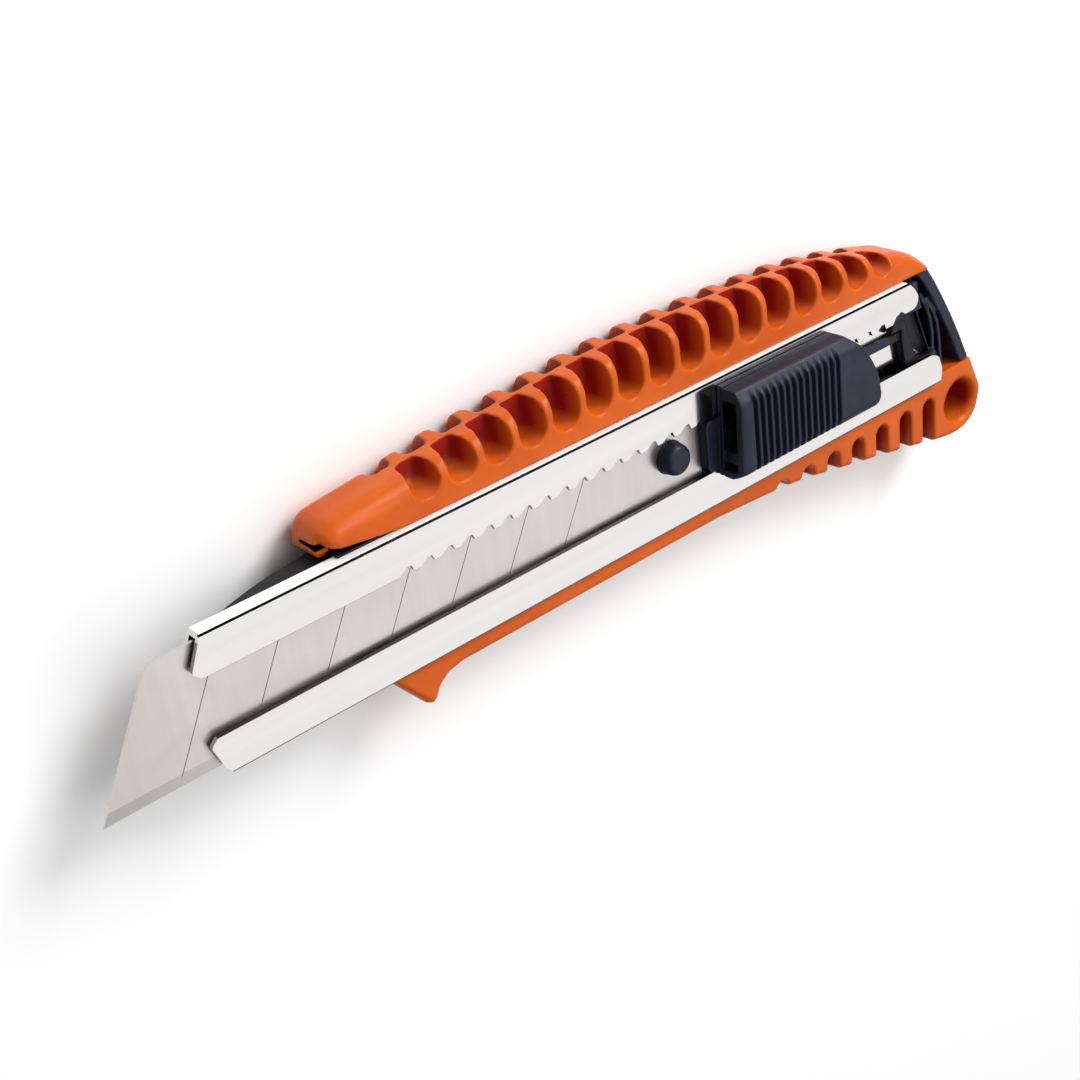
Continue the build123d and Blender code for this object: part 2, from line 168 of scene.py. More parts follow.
def facingOn(tree):
    place = tree.nodes.new("ShaderNodeTexCoord")
    split = tree.nodes.new("ShaderNodeSeparateXYZ")
    tree.links.new(place.outputs["Normal"], split.inputs["Vector"])
    return split.outputs


plasticTexture = dict(clouds=120, wear=420, sparkle=5200, smoother=0.06, rougher=0.08, depth=0.00003)
plastics = {
    "orange": dict(dark=(0.54, 0.082, 0.006), light=(0.61, 0.108, 0.007), roughness=0.33, grain=0.2,
                   specular=0.17),
    "black": dict(dark=(0.009, 0.011, 0.021), light=(0.014, 0.017, 0.040), roughness=0.42, grain=0.3,
                  specular=0.26),
    "core": dict(dark=(0.004, 0.004, 0.006), light=(0.007, 0.008, 0.012), roughness=0.55, grain=0.3,
                 specular=0.26),
}
steelTexture = dict(smears=90, smoother=0.05, rougher=0.07, depth=0.00002)
steels = {
    "bright": dict(dark=(0.69, 0.67, 0.66), light=(0.73, 0.71, 0.70), roughness=0.16, grain=0.04,
                   along=(0.05, 1, 1), scale=500),
    "blade": dict(dark=(0.585, 0.55, 0.54), light=(0.615, 0.58, 0.57), roughness=0.30, grain=0.04,
                  along=(1, 0.05, 1), scale=700),
    "spring": dict(dark=(0.45, 0.45, 0.47), light=(0.55, 0.55, 0.57), roughness=0.3, grain=0.1,
                   along=(0.1, 1, 1), scale=900),
}


def mouldedPlastic(name, dark, light, roughness, grain, specular):
    mat, tree, shader = newMaterial(name, light, roughness)
    shader.inputs["Specular IOR Level"].default_value = specular
    clouds = stretchedNoise(tree, plasticTexture["clouds"], detail=4)
    tintOn(tree, shader, rampOn(tree, clouds, 0, 1), dark, light)
    wear = stretchedNoise(tree, plasticTexture["wear"], detail=5)
    rough = rampOn(tree, wear, roughness - plasticTexture["smoother"], roughness + plasticTexture["rougher"])
    tree.links.new(rough, shader.inputs["Roughness"])
    sparkle = stretchedNoise(tree, plasticTexture["sparkle"], detail=2)
    bumpOn(tree, shader, sparkle, grain, plasticTexture["depth"])
    return mat


# the rolling lines run the way in which the noise is stretched
def rolledSteel(name, dark, light, roughness, grain, along, scale):
    mat, tree, shader = newMaterial(name, light, roughness, 1.0)
    lines = stretchedNoise(tree, scale, stretch=along, detail=4)
    tintOn(tree, shader, rampOn(tree, lines, 0, 1), dark, light)
    smears = stretchedNoise(tree, steelTexture["smears"], detail=4, distortion=0.6)
    rough = rampOn(tree, smears, roughness - steelTexture["smoother"], roughness + steelTexture["rougher"])
    tree.links.new(rough, shader.inputs["Roughness"])
    bumpOn(tree, shader, lines, grain, steelTexture["depth"])
    return mat


# painted shade and reflections on the sheath: painted shade and a painted dark reflection along the lips' cut
# edges, a painted dark reflection along each bend, and a painted white reflection on the sides
def paintSheathShadeAndReflections(mat):
    cutEdge, bend, side = sheath["cutEdge"], sheath["bend"], sheath["side"]
    tree = mat.node_tree
    shader = tree.nodes["Principled BSDF"]
    place = placeOn(tree)
    # painted shade and a painted dark reflection on the lips' cut edges
    onLowerEdge = mathOn(tree, "COMPARE", place["Y"], lipDown * mm, cutEdge["reach"] * mm)
    onUpperEdge = mathOn(tree, "COMPARE", place["Y"], lipUp * mm, cutEdge["reach"] * mm)
    tintWhere(tree, shader, mathOn(tree, "MAXIMUM", onLowerEdge, onUpperEdge), cutEdge["colour"])
    out = mathOn(tree, "ABSOLUTE", place["Y"])
    # a painted dark reflection along each bend
    low, high = bend["across"]
    onBend = mathOn(tree, "COMPARE", out, (half - (low + high) / 2) * mm, (high - low) / 2 * mm)
    onTop = mathOn(tree, "GREATER_THAN", place["Z"], (railFace - bend["depth"]) * mm)
    tintWhere(tree, shader, mathOn(tree, "MULTIPLY", onBend, onTop), bend["colour"])
    # a painted white reflection on the sides, where the metal is turned off
    onSide = mathOn(tree, "GREATER_THAN", out, (half - low) * mm)
    tintWhere(tree, shader, onSide, side["colour"])
    metal = mathOn(tree, "MULTIPLY_ADD", onSide, side["metallic"] - 1, 1.0)
    tree.links.new(metal, shader.inputs["Metallic"])


# tints what lies inside a box given in millimetres
def shadeBox(mat, low, high, colour):
    tree = mat.node_tree
    place = placeOn(tree)
    inside = None
    for i, axis in enumerate("XYZ"):
        middle, reach = (low[i] + high[i]) / 2 * mm, (high[i] - low[i]) / 2 * mm
        near = mathOn(tree, "COMPARE", place[axis], middle, reach)
        inside = near if inside is None else mathOn(tree, "MULTIPLY", inside, near)
    tintWhere(tree, tree.nodes["Principled BSDF"], inside, colour)


orangePlastic = mouldedPlastic("orangePlastic", **plastics["orange"])
blackPlastic = mouldedPlastic("blackPlastic", **plastics["black"])
corePlastic = mouldedPlastic("corePlastic", **plastics["core"])
# a copy of the black plastic that takes painted shade in the dish and on the plug
shadedCapPlastic = mouldedPlastic("shadedCapPlastic", **plastics["black"])
brightSteel = rolledSteel("brightSteel", **steels["bright"])
bladeSteel = rolledSteel("bladeSteel", **steels["blade"])
springSteel = rolledSteel("springSteel", **steels["spring"])
paintSheathShadeAndReflections(brightSteel)
nodeMaterials = {
    "sheath": brightSteel,
    "blade": bladeSteel,
    "lock_spring": springSteel,
    "core": corePlastic,
    "blade_carrier": blackPlastic,
    "thumb_button": blackPlastic,
    "end_cap": shadedCapPlastic,
    "grip_shell": orangePlastic,
}
for name, mat in nodeMaterials.items():
    nodes[name].data.materials.clear()
    nodes[name].data.materials.append(mat)
print("materials made")

# a moulded piece is a field of distances on a grid, negative inside, and its skin is where the field is zero
gridMargin = dict(before=2.5, after=3.0)  # grid steps left free around a piece


def gridFor(low, high, step):
    before, after = gridMargin["before"] * step, gridMargin["after"] * step
    axes = [np.arange(low[i] - before, high[i] + after, step) for i in range(3)]
    return axes[0][:, None, None], axes[1][None, :, None], axes[2][None, None, :]


# what is inside both fields, with the edge between them rounded
def roundBoth(a, b, soften):
    near = np.maximum(soften - np.abs(a - b), 0) / soften
    return np.maximum(a, b) + near * near * soften / 4


def roundCut(body, cutter, soften):
    return roundBoth(body, -cutter, soften)


def either(a, b, soften):
    return -roundBoth(-a, -b, soften)


# what is inside two walls, with a true arc where they meet; both come in already moved inwards by radius
def roundCorner(a, b, radius):
    return np.sqrt(np.maximum(a, 0) ** 2 + np.maximum(b, 0) ** 2) + np.minimum(np.maximum(a, b), 0) - radius


# a flat outline stood up from bottom to top
def thickOutline(flat, z, bottom, top, edge):
    up = np.abs(z - (bottom + top) / 2) - (top - bottom) / 2 + edge
    return roundCorner(flat + edge, up, edge)


# a rectangle seen from above
def planField(x, y, low, high, corner=0.0):
    across = np.abs(x - (low[0] + high[0]) / 2) - (high[0] - low[0]) / 2 + corner
    along = np.abs(y - (low[1] + high[1]) / 2) - (high[1] - low[1]) / 2 + corner
    return roundCorner(across, along, corner)


# everything beyond a corner towards +x and +y
def quarterField(x, y, cornerX, cornerY, radius):
    return roundCorner(cornerX + radius - x, cornerY + radius - y, radius)


def boxField(x, y, z, low, high, edge=0.0):
    away = []
    for i, p in enumerate((x, y, z)):
        away.append(np.abs(p - (low[i] + high[i]) / 2) - (high[i] - low[i]) / 2 + edge)
    outside = np.sqrt(sum(np.maximum(a, 0) ** 2 for a in away))
    return outside + np.minimum(np.maximum(np.maximum(away[0], away[1]), away[2]), 0) - edge


# a slope that falls by drop over run, through across = 0 and up = 0
def slopeField(across, up, run, drop):
    return (across * drop + up * run) / np.hypot(drop, run)


# a bar with round ends, seen from above
def roundBar(x, y, start, end, radius):
    (ax, ay), (bx, by) = start, end
    dx, dy = bx - ax, by - ay
    along = np.clip(((x - ax) * dx + (y - ay) * dy) / (dx * dx + dy * dy), 0, 1)
    return np.sqrt((x - ax - along * dx) ** 2 + (y - ay - along * dy) ** 2) - radius


# distance to a closed outline, negative inside it
def outlineField(points, x, y):
    px, py = x[:, :, 0], y[:, :, 0]
    nearest = np.full(np.broadcast(px, py).shape, farAway)
    inside = np.zeros(nearest.shape, bool)
    for (ax, ay), (bx, by) in zip(points, np.roll(points, -1, axis=0)):
        dx, dy = bx - ax, by - ay
        along = np.clip(((px - ax) * dx + (py - ay) * dy) / (dx * dx + dy * dy + tinyArea), 0, 1)
        nearest = np.minimum(nearest, (px - ax - along * dx) ** 2 + (py - ay - along * dy) ** 2)
        if abs(dy) > tinyLength:
            inside ^= ((ay > py) != (by > py)) & (px < dx * (py - ay) / dy + ax)
    return np.where(inside, -1, 1)[:, :, None] * np.sqrt(nearest)[:, :, None]


# points along a smooth curve through the given ones
def curveThrough(points, steps=10):
    knots = np.array([points[0], *points, points[-1]], float)
    made = []
    for i in range(1, len(knots) - 2):
        a, b, c, d = knots[i - 1:i + 3]
        for t in np.arange(steps) / steps:
            made.append(0.5 * (2 * b + (c - a) * t + (2 * a - 5 * b + 4 * c - d) * t ** 2
                               + (3 * b - a - 3 * c + d) * t ** 3))
    made.append(knots[-1])
    return made


# one point in each cell that the skin passes through, and a four-sided face on each grid edge that it crosses
def skinOf(field, corner, step):
    cells = [n - 1 for n in field.shape]
    owners, spots, faces = [], [], []
    for axis in range(3):
        before = [slice(None)] * 3
        after = [slice(None)] * 3
        before[axis], after[axis] = slice(0, -1), slice(1, None)
        a, b = field[tuple(before)], field[tuple(after)]
        edges = np.argwhere((a < 0) != (b < 0))
        va, vb = a[tuple(edges.T)], b[tuple(edges.T)]
        spot = edges.astype(float)
        spot[:, axis] += va / (va - vb)
        ring = []
        for du, dw in ((0, 0), (-1, 0), (-1, -1), (0, -1)):
            cell = edges.copy()
            cell[:, (axis + 1) % 3] += du
            cell[:, (axis + 2) % 3] += dw
            ring.append(np.ravel_multi_index(cell.T, cells))
        face = np.stack(ring, 1)
        face[va > 0] = face[va > 0][:, ::-1]
        faces.append(face)
        owners.append(np.concatenate(ring))
        spots.append(np.tile(spot, (4, 1)))
    owners, spots = np.concatenate(owners), np.concatenate(spots)
    kept, place = np.unique(owners, return_inverse=True)
    count = np.bincount(place)
    points = np.stack([np.bincount(place, spots[:, i]) / count for i in range(3)], 1)
    faces = np.searchsorted(kept, np.concatenate(faces))
    return points * step + corner, faces


# the largest connected piece, without the specks that thin edges leave
def largestOf(points, faces):
    label = np.arange(len(points))
    settled = False
    while not settled:
        lowest = label[faces].min(1)
        joined = label.copy()
        for i in range(4):
            np.minimum.at(joined, faces[:, i], lowest)
        joined = joined[joined]
        settled = (joined == label).all()
        label = joined
    kept = label == np.bincount(label).argmax()
    renumbered = np.cumsum(kept) - 1
    return points[kept], renumbered[faces[kept[faces[:, 0]]]]


def mould(name, low, high, step, fieldAt, mat, body, replaced):
    x, y, z = gridFor(low, high, step)
    field = fieldAt(x, y, z)
    points, faces = largestOf(*skinOf(field, (x[0, 0, 0], y[0, 0, 0], z[0, 0, 0]), step))
    points = np.clip(points, low, high)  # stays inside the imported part's own box
    mesh = bpy.data.meshes.new(name)
    mesh.from_pydata((points * mm).tolist(), [], faces.tolist())
    mesh.polygons.foreach_set("use_smooth", [True] * len(faces))
    mesh.materials.append(mat)
    piece = bpy.data.objects.new(name, mesh)
    bpy.context.scene.collection.objects.link(piece)
    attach(piece, body)
    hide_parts(replaced)
    print(name, "moulded with", len(points), "points")


grip = dict(
    step=0.25,
    edge=1.1,  # rounding of the outer edges
    shoulder=2.9,  # rounding along the ribbed back, which comes in over backFade
    backFade=4.0,
    noseRound=1.9,  # rounding of the blunt nose
    noseLength=6.0,
    noseFade=4.0,
    noseOverlap=0.5,
    sideFade=2.0,
    underNose=4.6,  # rounding of the nose's underside
    underDepth=3.0,
    underLength=22.0,
    underTaper=12.0,
    underOverlap=1.0,
    # the pockets of the ribbed back, in two rows half a pitch apart
    ribPitch=5.97,
    firstPocket=16.5,  # from the nose
    lastPocket=12.5,  # from the sheath's tail
    pocketMouth=2.35,  # half a pocket's width at the face
    pocketFloor=1.6,  # half its width at the web
    pocketFoot=2.4,  # from the sheath's side to the foot of a pocket
    pocketRun=30.0,  # the pockets run out through the back
    pocketScoop=1.8,  # rounding between a pocket's wall and its floor, near the foot
    spineScoop=0.45,  # the same, at the spine
    scoopLead=0.5,
    scoopFade=3.5,
    web=0.7,
    ribSoft=0.22,
    # the pockets of the belly
    bellyPockets=7,
    bellyWidth=2.9,
    bellyDepth=3.2,
    bellyInset=2.8,
    bellyLast=2.2,  # from the sheath's tail
    bellyScoop=1.6,
    bellySoft=0.5,
    # the hang hole
    holeInset=6.2,  # its middle, past the sheath's tail and past its side
    holeRadius=3.6,
    holeSoft=1.6,
    # the nose beside the sheath: a rounded block above the ledge, a lip below it with a slit down the nose
    ledge=8.3,
    noseCorner=3.2,
    cornerSoft=(0.15, 1.2),
    cornerReach=13.0,
    gapAtNose=1.0,
    gapStart=2.0,
    gapReach=10.0,
    lipCorner=1.6,
    lipSoft=0.4,
    lipCover=0.45,  # the lip reaches this far in under the sheath
    lipLength=1.9,
    lipDrop=0.8,
    slitInset=1.6,
    slitFoot=4.4,
    slitWidth=(0.2, 0.8),  # at its foot and at the ledge
    slitDepth=1.8,
    slitSoft=0.12,
    # the bay for the core, the sheath and the cap
    floorTop=2.0,
    rimGap=0.4,
    rimCover=0.45,  # the grip covers the core's rim this deep
    sheathGap=0.1,
    topGap=0.12,
    capGap=0.15,
    coreGap=0.05,
    bayBeyond=40.0,  # the cap's bay runs out past the tail
    baySoft=0.2,
)
gripNose = gripLow[0]
gripTop = gripHigh[2]
bellyNose = gripNose + 6.0
floorTop = grip["floorTop"]
coreTail = coreHigh[0] + grip["coreGap"]
holeX, holeY = tailEnd + grip["holeInset"], -half - grip["holeInset"]
slitMiddle = half + grip["slitInset"]


def gripOutline():
    back = curveThrough([
        (gripNose, half + 0.5), (gripNose, half + 1.9), (gripNose + 0.35, half + 3.2),
        (gripNose + 1.6, half + 4.4), (gripNose + 4.0, half + 5.0), (gripNose + 15, half + 6.2),
        (-16, half + 8.1), (5, half + 9.6),
        (30, half + 9.3), (tailEnd - 25, half + 8.1), (tailEnd - 11, half + 5.3), (tailEnd - 3, half + 2.0),
        (tailEnd + 4.5, 0.8), (tailEnd + 11.0, holeY + 3.3), (tailEnd + 11.9, holeY),
        (holeX + 3.9, holeY - 4.2), (holeX - 1.5, -half - 12.1),
        (tailEnd - 8, -half - 9.7), (tailEnd - 24, -half - 6.6), (tailEnd - 36, -half - 4.5),
        (18, -half - 3.3),
    ])
    guard = [
        (bellyNose + 11.5, -half - 3.3), (bellyNose + 9.0, -half - 3.8), (bellyNose + 7.4, -half - 5.0),
        (bellyNose + 6.4, -half - 6.7), (bellyNose + 5.6, -half - 7.2), (bellyNose + 4.7, -half - 6.7),
        (bellyNose, -half - 0.9),
    ]
    return np.array(back + guard)


# the bay for the core and the sheath, reaching this far to each side of the centre line
def bayOutline(reach):
    side = half + grip["sheathGap"]
    return np.array([
        (noseEnd, reach), (coreTail, reach), (coreTail, side), (upperTail + 3.4, side),
        (tailEnd + 0.6, -side), (coreTail, -side), (coreTail, -reach), (noseEnd, -reach),
    ])


# how far the outer edges are rounded at each place on the grip
def gripEdge(x, y, z):
    middle = gripTop / 2
    onBack = np.clip((y - half) / grip["backFade"], 0, 1)
    onNose = np.clip((gripNose + grip["noseLength"] - x) / grip["noseFade"], 0, 1) * (y > 0)
    besideSheath = np.clip((y - half + grip["noseOverlap"]) / grip["sideFade"], 0, 1)
    underneath = np.clip((middle - z) / grip["underDepth"], 0, 1)
    underneath = underneath * np.clip((gripNose + grip["underLength"] - x) / grip["underTaper"], 0, 1)
    edge = grip["edge"] + (grip["shoulder"] - grip["edge"]) * onBack
    edge = np.maximum(edge, grip["noseRound"] * onNose * besideSheath)
    besideSheath = np.clip((y - half + grip["underOverlap"]) / grip["sideFade"], 0, 1)
    return edge + (grip["underNose"] - edge) * underneath * besideSheath


def cutBackPockets(body, x, y, z):
    middle = gripTop / 2
    start = gripNose + grip["firstPocket"]
    count = int((tailEnd - grip["lastPocket"] - start) / grip["ribPitch"]) + 1
    foot = half + grip["pocketFoot"] + grip["pocketMouth"]
    toSpine = np.clip((y - foot + grip["scoopLead"]) / grip["scoopFade"], 0, 1)
    scoop = grip["pocketScoop"] + (grip["spineScoop"] - grip["pocketScoop"]) * toSpine
    for first, side in ((start, 1), (start - grip["ribPitch"] / 2, -1)):
        wall = grip["web"] / 2 - side * (z - middle)
        draft = np.clip(side * (z - middle) / middle, 0, 1)
        radius = grip["pocketFloor"] + (grip["pocketMouth"] - grip["pocketFloor"]) * draft
        nearest = farAway
        for i in range(count):
            at = first + i * grip["ribPitch"]
            nearest = np.minimum(nearest, roundBar(x, y, (at, foot), (at, foot + grip["pocketRun"]), 0))
        body = roundCut(body, roundBoth(nearest - radius, wall, scoop), grip["ribSoft"])
    return body


def cutBellyPockets(body, x, y, z):
    middle = gripTop / 2
    start = tailEnd - grip["bellyLast"] - (grip["bellyPockets"] - 1) * grip["ribPitch"]
    radius = grip["bellyWidth"] / 2
    top = -half - grip["bellyInset"] - radius
    for side in (1, -1):
        wall = middle - grip["bellyDepth"] - side * (z - middle)
        nearest = farAway
        for i in range(grip["bellyPockets"]):
            at = start + i * grip["ribPitch"]
            nearest = np.minimum(nearest, roundBar(x, y, (at, top), (at, top - grip["pocketRun"]), radius))
        body = roundCut(body, roundBoth(nearest, wall, grip["bellyScoop"]), grip["bellySoft"])
    return body


def shapeNose(body, x, y, z):
    ledge = grip["ledge"]
    gap = np.clip(1 - (x - gripNose - grip["gapStart"]) / grip["gapReach"], 0, 1)
    blockSide = half + grip["sheathGap"] + grip["gapAtNose"] * gap
    block = quarterField(x, y, gripNose, blockSide, grip["noseCorner"])
    lip = quarterField(x, y, gripNose, half - grip["lipCover"], grip["lipCorner"])
    sharp, soft = grip["cornerSoft"]
    atNose = (y > 0) & (x < gripNose + grip["cornerReach"])
    body = np.where(atNose & (z > ledge), roundBoth(body, block, sharp + (soft - sharp) * gap), body)
    body = np.where(atNose & (z <= ledge), roundBoth(body, lip, grip["lipSoft"]), body)
    narrow, wide = grip["slitWidth"]
    rise = (z - grip["slitFoot"]) / (ledge - grip["slitFoot"])
    slit = np.maximum(np.abs(y - slitMiddle) - (narrow + (wide - narrow) * rise) / 2,
                      x - gripNose - grip["slitDepth"])
    slit = np.maximum(slit, np.maximum(grip["slitFoot"] - z, z - ledge))
    return roundCut(body, slit, grip["slitSoft"])


def gripField(x, y, z):
    flat = outlineField(gripOutline(), x, y)
    body = thickOutline(flat, z, gripLow[2], gripTop, gripEdge(x, y, z))
    body = cutBackPockets(body, x, y, z)
    body = cutBellyPockets(body, x, y, z)
    hole = np.sqrt((x - holeX) ** 2 + (y - holeY) ** 2) - grip["holeRadius"]
    body = roundCut(body, hole, grip["holeSoft"])
    body = shapeNose(body, x, y, z)
    bay = outlineField(bayOutline(half + grip["rimGap"]), x, y)
    bayAtLip = outlineField(bayOutline(half - grip["lipCover"]), x, y)
    bayAtTop = outlineField(bayOutline(half + grip["topGap"]), x, y)
    besideLip = (x < gripNose + grip["lipLength"]) & (y > 0) & (z < grip["ledge"] - grip["lipDrop"])
    bay = np.where(besideLip, bayAtLip, bay)
    bay = np.where(z > gripTop - grip["rimCover"], bayAtTop, bay)
    capGap = grip["capGap"]
    bayEnd = (tailEnd + grip["bayBeyond"], capHigh[1] + capGap)
    capBay = planField(x, y, (coreTail, capLow[1] - capGap), bayEnd)
    bays = np.maximum(np.minimum(bay, capBay), floorTop - z)
    return roundCut(body, bays, grip["baySoft"])


pocketShade = dict(
    colour=(0.27, 0.010, 0.006),
    facing=(0.35, 0.85),  # walls and floors take it, the outer side of the ribs doesn't
    backDepth=(2.2, 5.1),  # from the middle of the grip's thickness
    backFrom=2.2,
    noseClear=12.0,
    bellyDepth=(3.4, 4.7),
    bellyFrom=2.6,
    bellyLength=42.0,
)


# painted shade: darker red in the finger pockets, more so towards their floors
def paintPocketShade(mat):
    tree = mat.node_tree
    place = placeOn(tree)
    turned = mathOn(tree, "ABSOLUTE", facingOn(tree)["Y"])
    sideways = rampOn(tree, turned, 1, 0, *pocketShade["facing"])
    fromMiddle = mathOn(tree, "ABSOLUTE", mathOn(tree, "SUBTRACT", place["Z"], gripTop / 2 * mm))
    low, high = pocketShade["backDepth"]
    deep = rampOn(tree, fromMiddle, 1, 0, low * mm, high * mm)
    onBack = mathOn(tree, "GREATER_THAN", place["Y"], (half + pocketShade["backFrom"]) * mm)
    behindNose = mathOn(tree, "GREATER_THAN", place["X"], (gripNose + pocketShade["noseClear"]) * mm)
    backPockets = mathOn(tree, "MULTIPLY", mathOn(tree, "MULTIPLY", deep, onBack), behindNose)
    low, high = pocketShade["bellyDepth"]
    shallow = rampOn(tree, fromMiddle, 1, 0, low * mm, high * mm)
    onBelly = mathOn(tree, "LESS_THAN", place["Y"], (-half - pocketShade["bellyFrom"]) * mm)
    nearTail = mathOn(tree, "GREATER_THAN", place["X"], (tailEnd - pocketShade["bellyLength"]) * mm)
    bellyPockets = mathOn(tree, "MULTIPLY", mathOn(tree, "MULTIPLY", shallow, onBelly), nearTail)
    mask = mathOn(tree, "MULTIPLY", mathOn(tree, "MAXIMUM", backPockets, bellyPockets), sideways)
    tintWhere(tree, tree.nodes["Principled BSDF"], mask, pocketShade["colour"])


# the gap beside the sheath and the slit of the nose lie in the dark
gapShade = dict(
    colour=(0.004, 0.004, 0.005),
    gapFrom=2.0,
    gapTo=13.0,
    gapAcross=(1.0, 1.6),
    gapHeights=(0.5, 0.7),
    slitFrom=0.12,
    slitTo=3.0,
    slitReach=0.5,
    slitOver=0.1,
)


def shadeGaps(mat):
    inner, outer = gapShade["gapAcross"]
    below, above = gapShade["gapHeights"]
    shadeBox(mat, (gripNose + gapShade["gapFrom"], half - inner, grip["ledge"] - below),
             (gripNose + gapShade["gapTo"], half + outer, gripTop - above), gapShade["colour"])
    reach = gapShade["slitReach"]
    shadeBox(mat, (gripNose + gapShade["slitFrom"], slitMiddle - reach, grip["slitFoot"]),
             (gripNose + gapShade["slitTo"], slitMiddle + reach, grip["ledge"] + gapShade["slitOver"]),
             gapShade["colour"])


paintPocketShade(orangePlastic)
shadeGaps(orangePlastic)
mould("grip", gripLow, gripHigh, grip["step"], gripField, orangePlastic, "grip", "grip_shell")

button = dict(
    step=0.14,
    edge=0.35,
    facetAcross=2.1,  # the long slanted facet on the side of the ribbed back
    facetDown=1.5,
    facetSoft=0.4,
    bellyAcross=1.0,  # the small facet on the other side
    bellyDown=1.1,
    bellySoft=1.0,
    frontRound=1.3,
    frontSlant=0.8,
    wall=1.1,
    roof=1.3,
    mouthInset=1.9,  # the open front stops this far from the back side
    mouthDepth=5.0,
    mouthCorner=0.3,
    hollowSoft=0.2,
    grooves=14,
    groovePitch=1.38,
    grooveHalf=0.36,
    grooveDepth=0.8,
    grooveSoft=0.22,
    firstGroove=3.6,
)


# the button and the plate under it share this outline; grow moves its front corner out
def sliderOutline(grow=0.0):
    front, low = buttonLow[:2]
    rear, high = buttonHigh[:2]
    curve = curveThrough([
        (rear, low + 2.7), (rear - 0.7, high - 7.9), (rear - 2.0, high - 5.2), (rear - 3.9, high - 2.4),
        (rear - 6.5, high),
    ])
    return np.array([(front, low), (rear - 0.3, low)] + curve + [(front + button["frontSlant"], high + grow)])


def buttonField(x, y, z):
    front, low, bottom = buttonLow
    rear, high, top = buttonHigh
    flat = outlineField(sliderOutline(), x, y)
    body = thickOutline(flat, z, bottom - 1, top, button["edge"])
    across, down = button["facetAcross"], button["facetDown"]
    body = roundBoth(body, slopeField(y - high + across, z - top, across, down), button["facetSoft"])
    across, down = button["bellyAcross"], button["bellyDown"]
    body = roundBoth(body, slopeField(low + across - y, z - top, across, down), button["bellySoft"])
    frontRound = button["frontRound"]
    body = roundBoth(body, slopeField(front + frontRound / 2 - x, z - top, 1.0, 1.0), frontRound)
    body = np.maximum(body, bottom - z)
    depth = (z - top) * button["grooveHalf"] / button["grooveDepth"]
    grooves = farAway
    for i in range(button["grooves"]):
        at = front + button["firstGroove"] + i * button["groovePitch"]
        grooves = np.minimum(grooves, np.sqrt((x - at) ** 2 + depth ** 2) - button["grooveHalf"])
    body = roundCut(body, grooves, button["grooveSoft"])
    wall, roof = button["wall"], button["roof"]
    inside = np.maximum(flat + wall, z - top + roof)
    mouthRear = (front + button["mouthDepth"], high - button["mouthInset"], top - roof)
    mouth = boxField(x, y, z, (front - 3, low + wall, bottom - 3), mouthRear, button["mouthCorner"])
    return roundCut(body, np.minimum(inside, mouth), button["hollowSoft"])


mould("thumbButton", buttonLow, buttonHigh, button["step"], buttonField, blackPlastic, "button",
      "thumb_button")

carrier = dict(
    step=0.16,
    gap=0.1,  # to the sheath's lips and to the button
    tongue=0.5,  # the tongue under the blade, and the blade on it, are each this thick
    tongueInset=2.0,
    tongueOverlap=2.0,
    tongueEdge=0.1,
    pegSetback=6.5,
    pegUp=1.0,
    pegRadius=2.6,
    pegEndRadius=2.25,
    pegHeight=2.4,
    pegSoft=0.9,
    blockSetback=12.6,
    blockLength=25.9,
    blockInset=0.2,
    blockCorner=2.2,
    blockEdge=0.15,
    neckCorner=1.2,
    neckEdge=0.2,
    neckDown=0.5,  # the neck runs this far into the block and the plate
    neckUp=0.3,
    plateGrow=0.25,
    guideFront=0.6,  # the raised guide under the button, from its front, side and rear
    guideSide=2.2,
    guideRear=3.6,
    guideWidth=3.2,  # from the lower lip
    guideEdge=0.25,
    lockPlace=25.33,  # middle of the lock spring's bay
    lockBay=7.0,  # half its length
    lockBayAcross=(2.4, 1.8),
    lockBayTop=40.0,  # well above the piece
    lockBayEdge=0.2,
    grooveLength=15.5,  # the groove that the cap's tongue slides in
    grooveHalf=1.1,
    grooveDeep=1.0,
    soften=0.15,
)
tongueUnder = carrierLow[2]
tongueTop = tongueUnder + carrier["tongue"]
bladeTop = tongueTop + carrier["tongue"]
blockTop = railFace - sheet - carrier["gap"]
plateUnder = railFace + carrier["gap"]
plateTop = buttonLow[2] - carrier["gap"]
tongueFront = carrierLow[0]
pegX, pegY = tongueFront + carrier["pegSetback"], carrier["pegUp"]
blockFront = tongueFront + carrier["blockSetback"]
blockRear = blockFront + carrier["blockLength"]
barMiddle = lipUp / 4  # the cap's tongue runs along this line


def pegField(x, y, z):
    above = z - bladeTop
    narrower = carrier["pegRadius"] - carrier["pegEndRadius"]
    radius = carrier["pegRadius"] - above * narrower / carrier["pegHeight"]
    peg = np.sqrt((x - pegX) ** 2 + (y - pegY) ** 2) - radius
    peg = roundBoth(peg, above - carrier["pegHeight"], carrier["pegSoft"])
    return np.maximum(peg, tongueUnder - z)


